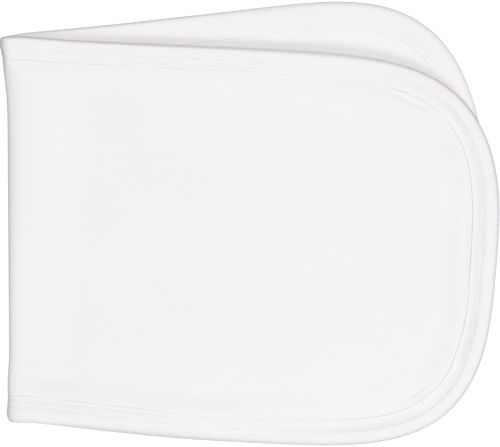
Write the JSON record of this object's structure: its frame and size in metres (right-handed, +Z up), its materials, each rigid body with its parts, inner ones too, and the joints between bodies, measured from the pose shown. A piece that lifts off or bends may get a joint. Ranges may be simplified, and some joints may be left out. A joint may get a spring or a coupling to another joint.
{
  "type": "burp cloth",
  "caption": "Plain knit burp cloth with rounded ends and a slight waist, bound all round, folded once across the middle and lying flat.",
  "frame": {"origin": "centre of the folded cloth's box, on the surface it lies on", "axes": "+X from the fold to the rounded ends, +Y across the cloth to the side where the lower half shows, +Z up"},
  "size_m": [0.259, 0.2307, 0.0119],
  "materials": {
    "panel_knit": "matte interlock knit",
    "binding_knit": "matte knit, coverstitched"
  },
  "bodies": {
    "root": {"panel": "panel_knit", "binding": "binding_knit"}
  },
  "joints": []
}
